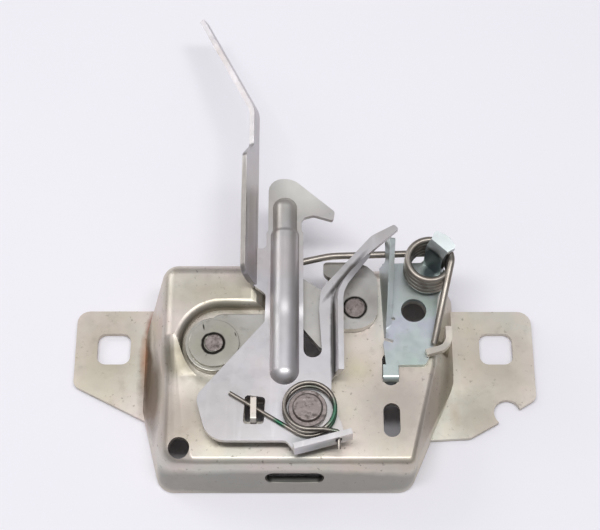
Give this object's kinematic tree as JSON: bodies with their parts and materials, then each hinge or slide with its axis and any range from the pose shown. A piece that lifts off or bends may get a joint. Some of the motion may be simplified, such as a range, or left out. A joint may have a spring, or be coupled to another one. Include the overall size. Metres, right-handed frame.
{
  "type": "bonnet latch",
  "caption": "Zinc-plated bonnet latch: drawn pan with side flanges, claw and pawl levers, sprung safety hook with a release handle, and an ejector spring.",
  "frame": {"origin": "midway between the two fixing holes, on the mounting plane at the back of the flanges", "axes": "+X along the line of the fixing holes towards the ejector spring, +Y towards the hook's nose and the handle, +Z out of the latch's face towards the viewer"},
  "size_m": [0.1675, 0.1868, 0.039],
  "materials": {
    "housing_zinc": "satin zinc plate with a faint yellow passivation",
    "bracket_zinc": "satin bluish zinc plate",
    "hook_zinc": "satin zinc plate",
    "lever_steel": "satin zinc plate",
    "rivet_steel": "plain worn steel",
    "spring_steel": "dark oiled spring wire"
  },
  "bodies": {
    "housing": {"housing": "housing_zinc", "spring_bracket": "bracket_zinc", "claw_rivet": "rivet_steel", "pawl_rivet": "rivet_steel", "pawl_washer": "lever_steel", "safety_hook_rivet": "rivet_steel", "safety_hook_collar": "rivet_steel", "safety_hook_spring": "spring_steel", "ejector_spring": "spring_steel"},
    "safety_hook": {"safety_hook": "hook_zinc"},
    "claw": {"claw": "lever_steel"},
    "pawl": {"pawl": "lever_steel"}
  },
  "joints": [
    {"name": "safety_hook_turn", "type": "hinge", "parent": "housing", "child": "safety_hook", "pos_m": [0.0008, -0.0334, 0.0258], "axis": [0, 0, 1], "range_deg": [0, 15], "stiffness_Nm_per_rad": 0.6, "springref_deg": -34.38, "deforming": ["safety_hook_spring"]},
    {"name": "claw_turn", "type": "hinge", "parent": "housing", "child": "claw", "pos_m": [0.0177, 0.0071, 0.0217], "axis": [0, 0, 1], "range_deg": [0, 38]},
    {"name": "pawl_turn", "type": "hinge", "parent": "housing", "child": "pawl", "pos_m": [-0.032, -0.007, 0.0217], "axis": [0, 0, 1], "range_deg": [-6, 4]}
  ]
}
